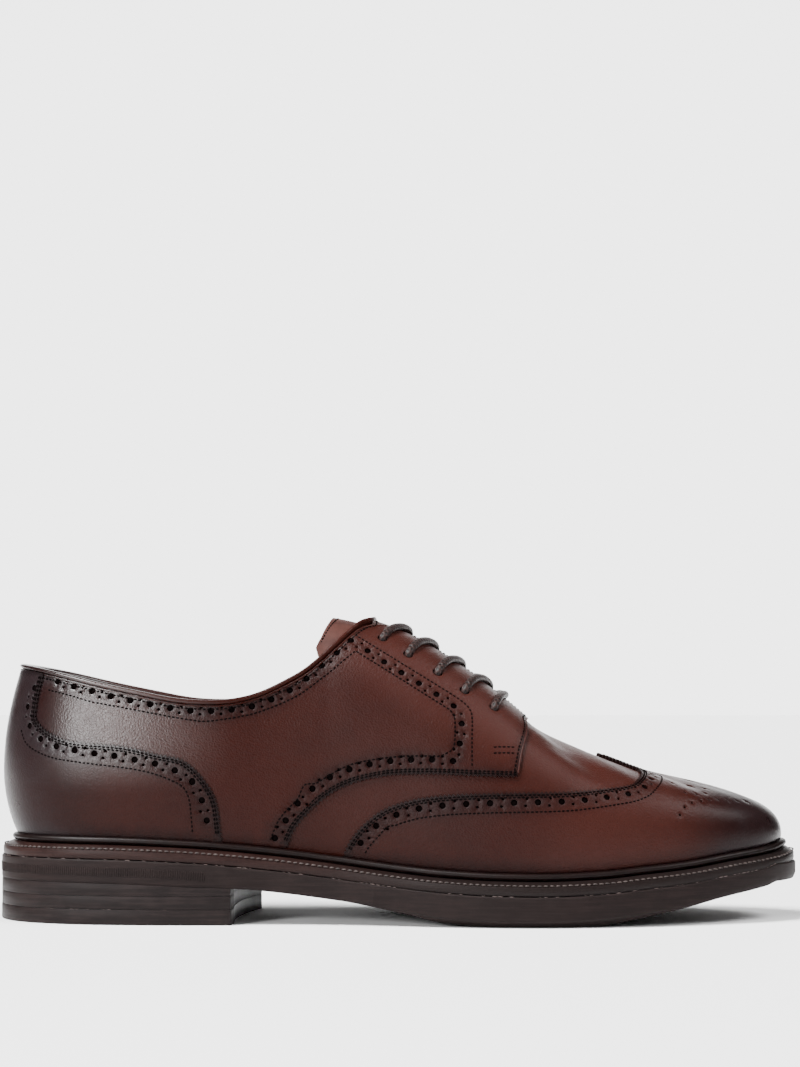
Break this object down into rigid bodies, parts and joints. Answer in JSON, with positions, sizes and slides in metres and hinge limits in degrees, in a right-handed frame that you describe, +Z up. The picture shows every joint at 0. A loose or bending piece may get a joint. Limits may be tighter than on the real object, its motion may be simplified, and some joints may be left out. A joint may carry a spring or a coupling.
{
  "type": "brogue shoe",
  "caption": "Right wingtip derby brogue: hollow leather upper with overlaid cap, counter and open lacing, on a welted rubber sole with a stacked heel.",
  "frame": {"origin": "middle of the shoe's box at floor level", "axes": "+X runs from heel to toe, +Z is up, -Y is the outer side of the right shoe"},
  "size_m": [0.3078, 0.1028, 0.118],
  "materials": {
    "burnished_leather": "burnished reddish-brown calf, semi-gloss",
    "dark_leather": "dark burnished calf, semi-gloss",
    "binding_leather": "rolled edge, semi-gloss",
    "lining_leather": "tan lining, matt",
    "welt_leather": "dark brown welting, satin",
    "lace_cord": "round waxed lace",
    "sole_rubber": "dark brown rubber, satin"
  },
  "bodies": {
    "root": {"upper": "burnished_leather", "wing_cap": "dark_leather", "heel_counter": "dark_leather", "quarter_lateral": "burnished_leather", "quarter_medial": "burnished_leather", "tongue": "burnished_leather", "topline_binding": "binding_leather", "laces": "lace_cord", "insole": "lining_leather", "rand": "welt_leather", "welt": "welt_leather", "outsole": "sole_rubber", "heel_lift_upper": "sole_rubber", "heel_lift_lower": "sole_rubber", "top_lift": "sole_rubber"}
  },
  "joints": []
}
